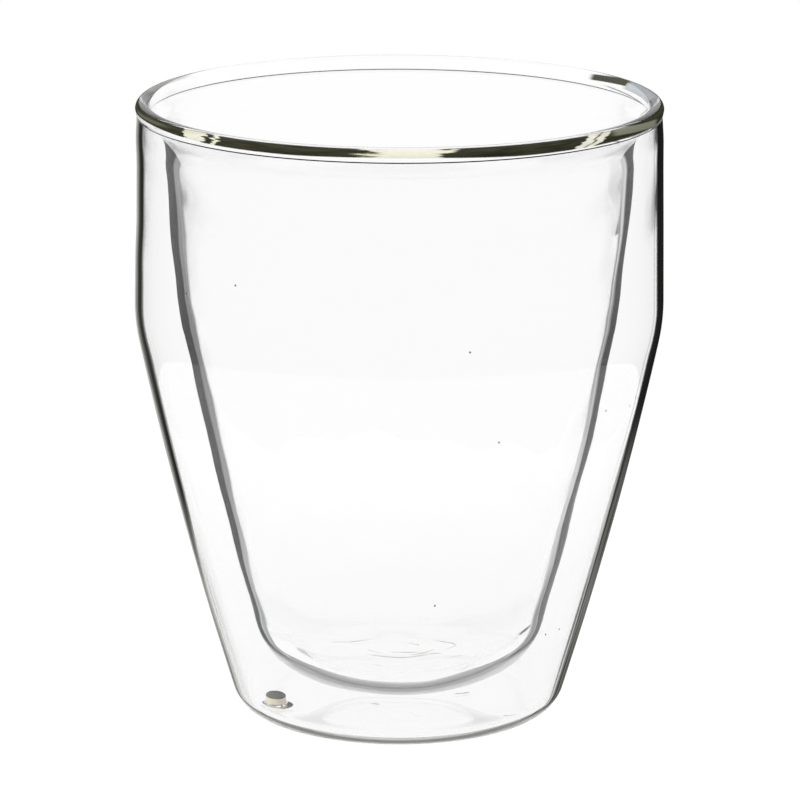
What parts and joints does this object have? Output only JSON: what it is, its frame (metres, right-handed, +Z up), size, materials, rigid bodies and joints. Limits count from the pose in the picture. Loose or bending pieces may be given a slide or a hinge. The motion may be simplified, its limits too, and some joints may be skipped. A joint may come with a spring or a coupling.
{
  "type": "double walled glass cup",
  "caption": "Double walled glass cup: an inner glass hangs in an outer glass from a fused rim, with sealed air between them and a soft plug in the vent of the base.",
  "frame": {"origin": "middle of the flat underside, on the cup's axis", "axes": "+Z up along the cup's axis, +X to the right and -Y towards the viewer of the picture"},
  "size_m": [0.0868, 0.0868, 0.1026],
  "materials": {
    "outer_glass": "clear blown borosilicate glass, fire polished",
    "inner_glass": "clear blown borosilicate glass, with faint swirl marks in its floor",
    "rim_glass": "clear glass seen edge on, faintly olive, fire polished",
    "plug_silicone": "cream silicone, satin"
  },
  "bodies": {
    "root": {"outer_shell": "outer_glass", "inner_bowl": "inner_glass", "rim_bead": "rim_glass", "vent_plug": "plug_silicone"}
  },
  "joints": []
}
